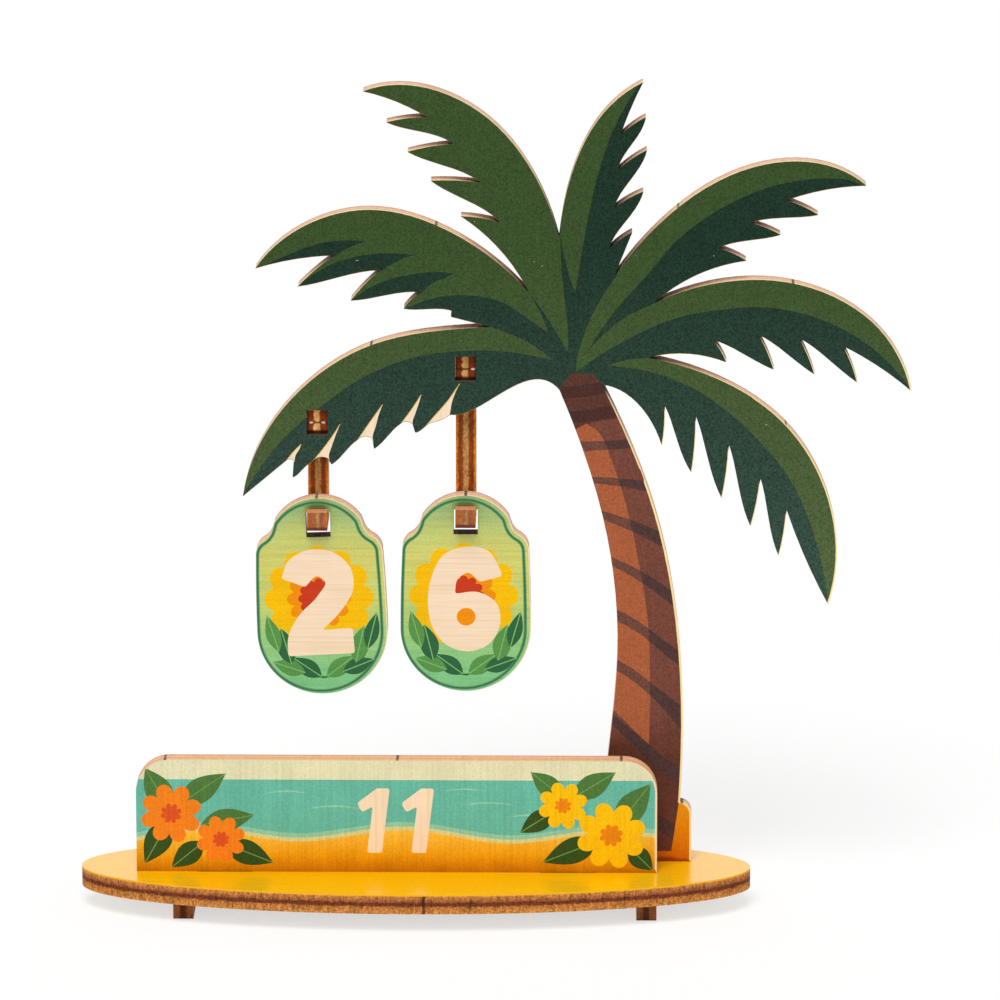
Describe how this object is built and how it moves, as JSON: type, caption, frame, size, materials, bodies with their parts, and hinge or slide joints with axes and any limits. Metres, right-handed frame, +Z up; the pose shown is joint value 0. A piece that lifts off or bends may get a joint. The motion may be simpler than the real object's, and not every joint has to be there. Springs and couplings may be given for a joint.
{
  "type": "desk calendar",
  "caption": "Laser-cut plywood desk calendar: oval base on runners, flat palm tree, hooks in its frond with hanging number tags, and a lift-out month board.",
  "frame": {"origin": "middle of the bounding box on the table, under the runners", "axes": "+X along the base towards the tree, +Y from the front to the back, +Z up"},
  "size_m": [0.1233, 0.03, 0.1249],
  "materials": {
    "base_ply": "orange satin print on plywood, scorched layered edge",
    "foot_ply": "bare plywood, scorched laser-cut edge",
    "palm_ply": "green and brown satin print on plywood, pale cut edge",
    "hook_ply": "bare plywood, scorched layered edge",
    "tag_ply": "green satin print on plywood, bare wood numbers",
    "board_ply": "teal and yellow satin print on plywood, bare wood number"
  },
  "bodies": {
    "stand": {"base_board": "base_ply", "left_foot": "foot_ply", "right_foot": "foot_ply", "palm_panel": "palm_ply", "left_hook": "hook_ply", "right_hook": "hook_ply"},
    "tens": {"tens_tag": "tag_ply"},
    "units": {"units_tag": "tag_ply"},
    "month": {"month_board": "board_ply"}
  },
  "joints": [
    {"name": "tens_tag_swing", "type": "hinge", "parent": "stand", "child": "tens", "pos_m": [-0.02615, 0.0034, 0.06], "axis": [1, 0, 0], "range_deg": [-8, 8]},
    {"name": "units_tag_swing", "type": "hinge", "parent": "stand", "child": "units", "pos_m": [-0.0042, 0.0034, 0.0605], "axis": [1, 0, 0], "range_deg": [-8, 8]},
    {"name": "month_board_lift", "type": "slide", "parent": "stand", "child": "month", "axis": [0, 0, 1], "range_m": [0, 0.008]}
  ]
}
